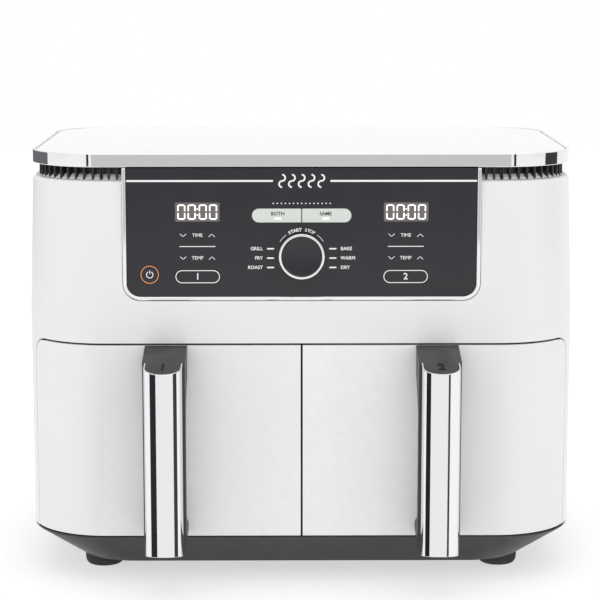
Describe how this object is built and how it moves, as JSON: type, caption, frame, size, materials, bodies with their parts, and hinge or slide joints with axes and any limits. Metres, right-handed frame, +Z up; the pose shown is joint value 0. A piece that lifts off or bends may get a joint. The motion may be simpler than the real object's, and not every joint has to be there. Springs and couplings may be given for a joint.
{
  "type": "air fryer",
  "caption": "Twin-drawer worktop air fryer with a dark control panel and dial, bright lid trim, vertical drawer handles, baskets, crisper plates, heaters and fans.",
  "frame": {"origin": "on the table, at the centre of the box round the whole appliance seen from above", "axes": "+Z up, front faces -Y, +X to the right hand of someone facing the control panel"},
  "size_m": [0.415, 0.324, 0.325],
  "materials": {
    "white_shell": "satin white moulding",
    "lid_white": "polished white",
    "dark_plastic": "fine moulded texture",
    "panel_gloss": "smooth dark gloss",
    "chrome": "mirror plated",
    "steel": "plain steel",
    "coated_metal": "dark non-stick coating",
    "rubber": "matt rubber",
    "silicone": "soft silicone",
    "lens": "smoked display window",
    "keys": "satin light grey",
    "board": "circuit board"
  },
  "bodies": {
    "housing": {"base_pan": "dark_plastic", "cavity_liner_1": "coated_metal", "cavity_liner_2": "coated_metal", "control_board": "board", "control_panel": "panel_gloss", "cord_inlet": "rubber", "display_lens_1": "lens", "display_lens_2": "lens", "drawer_switch_1": "dark_plastic", "drawer_switch_2": "dark_plastic", "encoder_body": "dark_plastic", "fan_motor_1": "steel", "fan_motor_2": "steel", "foot_front_left": "rubber", "foot_front_right": "rubber", "foot_rear_left": "rubber", "foot_rear_right": "rubber", "heater_guard_1": "steel", "heater_guard_2": "steel", "heating_element_1": "steel", "heating_element_2": "steel", "lid_panel": "lid_white", "lid_trim": "chrome", "outer_shell": "white_shell", "panel_bezel": "chrome", "panel_carrier": "dark_plastic", "power_board": "board", "rear_cover": "dark_plastic", "thermistor_1": "steel", "thermistor_2": "steel", "vent_ring": "dark_plastic"},
    "fan_1": {"fan_1": "steel"},
    "fan_2": {"fan_2": "steel"},
    "dial_plunger": {"dial_shaft": "steel"},
    "dial": {"dial_knob": "panel_gloss", "dial_ring": "chrome"},
    "power_key": {"power_button": "panel_gloss"},
    "zone_1_key": {"zone_1_button": "panel_gloss"},
    "zone_2_key": {"zone_2_button": "panel_gloss"},
    "sync_key": {"sync_button": "keys"},
    "match_key": {"match_button": "keys"},
    "drawer_1": {"drawer_front_1": "white_shell", "drawer_inner_1": "dark_plastic", "door_gasket_1": "silicone", "basket_1": "coated_metal", "handle_core_1": "dark_plastic", "handle_cover_1": "chrome"},
    "drawer_2": {"drawer_front_2": "white_shell", "drawer_inner_2": "dark_plastic", "door_gasket_2": "silicone", "basket_2": "coated_metal", "handle_core_2": "dark_plastic", "handle_cover_2": "chrome"},
    "crisper_1": {"crisper_plate_1": "coated_metal"},
    "crisper_2": {"crisper_plate_2": "coated_metal"}
  },
  "joints": [
    {"name": "drawer_1_slide", "type": "slide", "parent": "housing", "child": "drawer_1", "axis": [0, -1, 0], "range_m": [0, 0.22]},
    {"name": "crisper_1_lift", "type": "slide", "parent": "drawer_1", "child": "crisper_1", "axis": [0, 0, 1], "range_m": [0, 0.09]},
    {"name": "fan_1_spin", "type": "hinge", "parent": "housing", "child": "fan_1", "pos_m": [-0.0965, 0.0275, 0.2068], "axis": [0, 0, 1], "continuous": true},
    {"name": "drawer_2_slide", "type": "slide", "parent": "housing", "child": "drawer_2", "axis": [0, -1, 0], "range_m": [0, 0.22]},
    {"name": "crisper_2_lift", "type": "slide", "parent": "drawer_2", "child": "crisper_2", "axis": [0, 0, 1], "range_m": [0, 0.09]},
    {"name": "fan_2_spin", "type": "hinge", "parent": "housing", "child": "fan_2", "pos_m": [0.0965, 0.0275, 0.2068], "axis": [0, 0, 1], "continuous": true},
    {"name": "dial_push", "type": "slide", "parent": "housing", "child": "dial_plunger", "axis": [0, 1, 0], "range_m": [0, 0.001], "stiffness_N_per_m": 1500, "springref_m": -0.001},
    {"name": "dial_turn", "type": "hinge", "parent": "dial_plunger", "child": "dial", "pos_m": [0, -0.11, 0.2494], "axis": [0, 1, 0], "continuous": true},
    {"name": "power_press", "type": "slide", "parent": "housing", "child": "power_key", "axis": [0, 1, 0], "range_m": [0, 0.0006], "stiffness_N_per_m": 1500, "springref_m": -0.0006},
    {"name": "zone_1_press", "type": "slide", "parent": "housing", "child": "zone_1_key", "axis": [0, 1, 0], "range_m": [0, 0.0006], "stiffness_N_per_m": 1500, "springref_m": -0.0006},
    {"name": "zone_2_press", "type": "slide", "parent": "housing", "child": "zone_2_key", "axis": [0, 1, 0], "range_m": [0, 0.0006], "stiffness_N_per_m": 1500, "springref_m": -0.0006},
    {"name": "sync_press", "type": "slide", "parent": "housing", "child": "sync_key", "axis": [0, 1, 0], "range_m": [0, 0.0006], "stiffness_N_per_m": 1500, "springref_m": -0.0006},
    {"name": "match_press", "type": "slide", "parent": "housing", "child": "match_key", "axis": [0, 1, 0], "range_m": [0, 0.0006], "stiffness_N_per_m": 1500, "springref_m": -0.0006}
  ]
}
